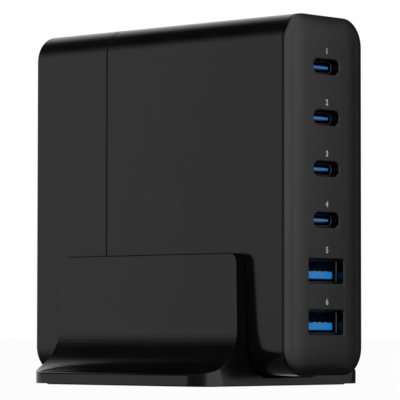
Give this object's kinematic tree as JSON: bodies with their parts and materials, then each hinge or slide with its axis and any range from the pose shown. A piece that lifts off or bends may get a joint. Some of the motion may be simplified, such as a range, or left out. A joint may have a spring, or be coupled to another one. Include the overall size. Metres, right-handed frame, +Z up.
{
  "type": "desktop charger",
  "caption": "Black slab charger standing on edge in a flared U cradle, with a column of small and large charging sockets with blue tongues in its narrow face.",
  "frame": {"origin": "on the table, below the middle of the whole object", "axes": "+Z up, -Y towards whoever faces the sockets, X across the slab"},
  "size_m": [0.063, 0.0912, 0.0947],
  "materials": {
    "casing": "satin",
    "port_face": "satin",
    "cradle": "satin",
    "soft_strip": "matte",
    "socket_metal": "drawn",
    "tongue_blue": "satin",
    "contact_gold": "plated",
    "circuit_board": "solder mask",
    "inlet_black": "satin",
    "pin_metal": "plated",
    "ferrite": "sintered",
    "ring_coating": "coated",
    "copper_wire": "lacquered",
    "coil_tape": "taped",
    "film_box": "moulded",
    "ceramic": "glazed",
    "chip_black": "moulded",
    "sleeve_dark": "shrunk sleeve",
    "aluminium_can": "drawn",
    "spreader_metal": "rolled",
    "film": "film",
    "gap_pad": "soft"
  },
  "bodies": {
    "root": {"front_shell": "casing", "rear_shell": "casing", "front_panel": "port_face", "type_c_shell_1": "socket_metal", "type_c_shell_2": "socket_metal", "type_c_shell_3": "socket_metal", "type_c_shell_4": "socket_metal", "type_c_tongue_1": "tongue_blue", "type_c_tongue_2": "tongue_blue", "type_c_tongue_3": "tongue_blue", "type_c_tongue_4": "tongue_blue", "type_c_contacts_1": "contact_gold", "type_c_contacts_2": "contact_gold", "type_c_contacts_3": "contact_gold", "type_c_contacts_4": "contact_gold", "type_a_shell_1": "socket_metal", "type_a_shell_2": "socket_metal", "type_a_tongue_1": "tongue_blue", "type_a_tongue_2": "tongue_blue", "type_a_contacts_1": "contact_gold", "type_a_contacts_2": "contact_gold", "port_board": "circuit_board", "main_board": "circuit_board", "board_link": "chip_black", "inlet_housing": "inlet_black", "inlet_pins": "pin_metal", "line_filter_core": "ring_coating", "line_filter_winding": "copper_wire", "x_capacitor": "film_box", "fuse": "ceramic", "bridge_rectifier": "chip_black", "boost_choke_core": "ferrite", "boost_choke_winding": "copper_wire", "bulk_capacitor_1": "sleeve_dark", "bulk_capacitor_2": "sleeve_dark", "bulk_capacitor_3": "sleeve_dark", "transformer_core": "ferrite", "transformer_winding": "coil_tape", "thermal_pad": "gap_pad", "power_switch_1": "chip_black", "power_switch_2": "chip_black", "buck_choke_1": "ferrite", "buck_choke_2": "ferrite", "buck_choke_3": "ferrite", "output_capacitor_1": "aluminium_can", "output_capacitor_2": "aluminium_can", "output_capacitor_3": "aluminium_can", "port_controller_1": "chip_black", "port_controller_2": "chip_black", "heat_spreader_left": "spreader_metal", "heat_spreader_right": "spreader_metal", "insulation_sheet": "film", "stand": "cradle", "cradle_pad_left": "soft_strip", "cradle_pad_right": "soft_strip", "base_mat": "soft_strip"}
  },
  "joints": []
}
